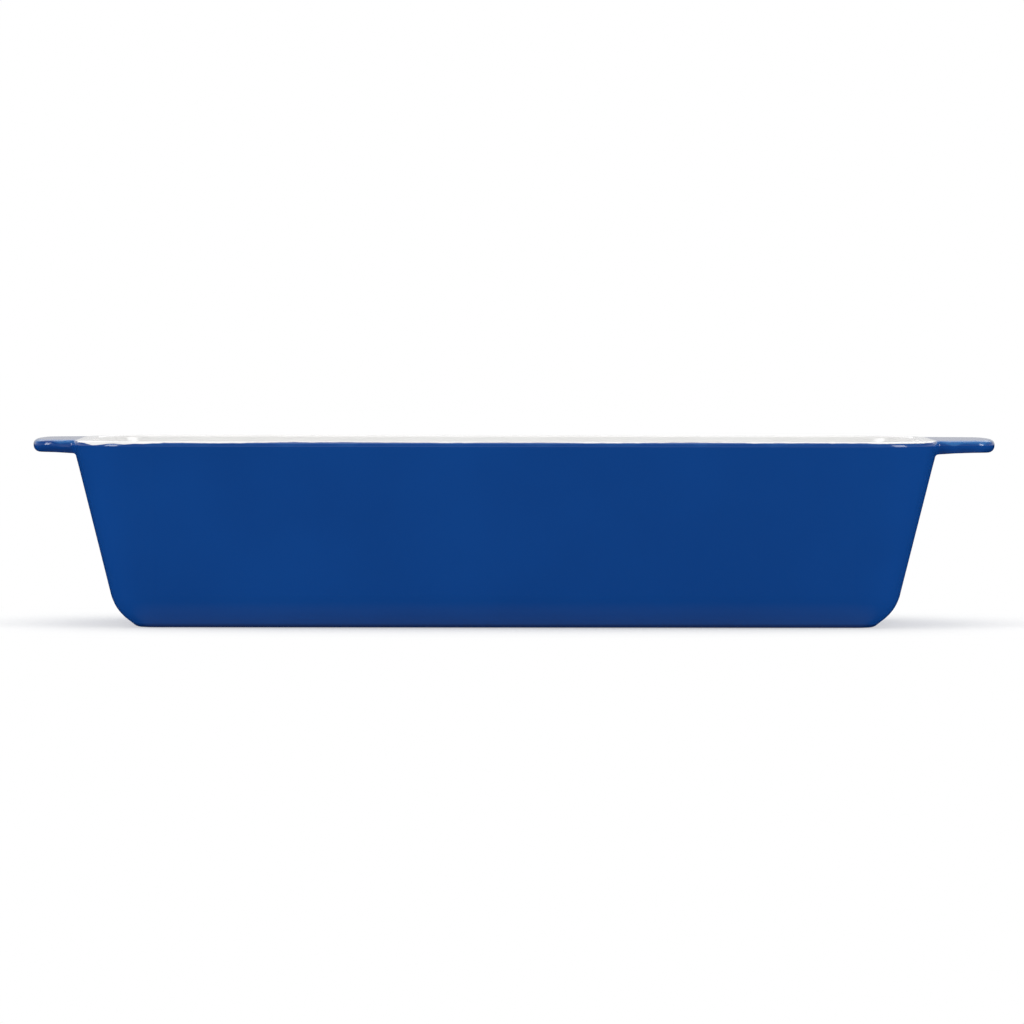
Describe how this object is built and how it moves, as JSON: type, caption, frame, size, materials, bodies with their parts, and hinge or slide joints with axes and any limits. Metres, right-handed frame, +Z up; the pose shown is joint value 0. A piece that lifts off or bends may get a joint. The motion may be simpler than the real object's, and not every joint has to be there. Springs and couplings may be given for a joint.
{
  "type": "loaf pan",
  "caption": "Long rectangular baking pan with leaning walls, rounded corners and a flat lug handle at each end, in enamelled cast iron.",
  "frame": {"origin": "middle of the flat underside, where the pan stands", "axes": "+X along the pan's length from lug to lug, +Y across it, +Z up out of its mouth"},
  "size_m": [0.3641, 0.134, 0.07],
  "materials": {
    "cast_iron": "as cast, hidden under the enamel",
    "ground_enamel": "satin",
    "blue_enamel": "gloss",
    "white_enamel": "gloss"
  },
  "bodies": {
    "root": {"iron_body": "cast_iron", "ground_coat": "ground_enamel", "exterior_enamel": "blue_enamel", "interior_enamel": "white_enamel"}
  },
  "joints": []
}
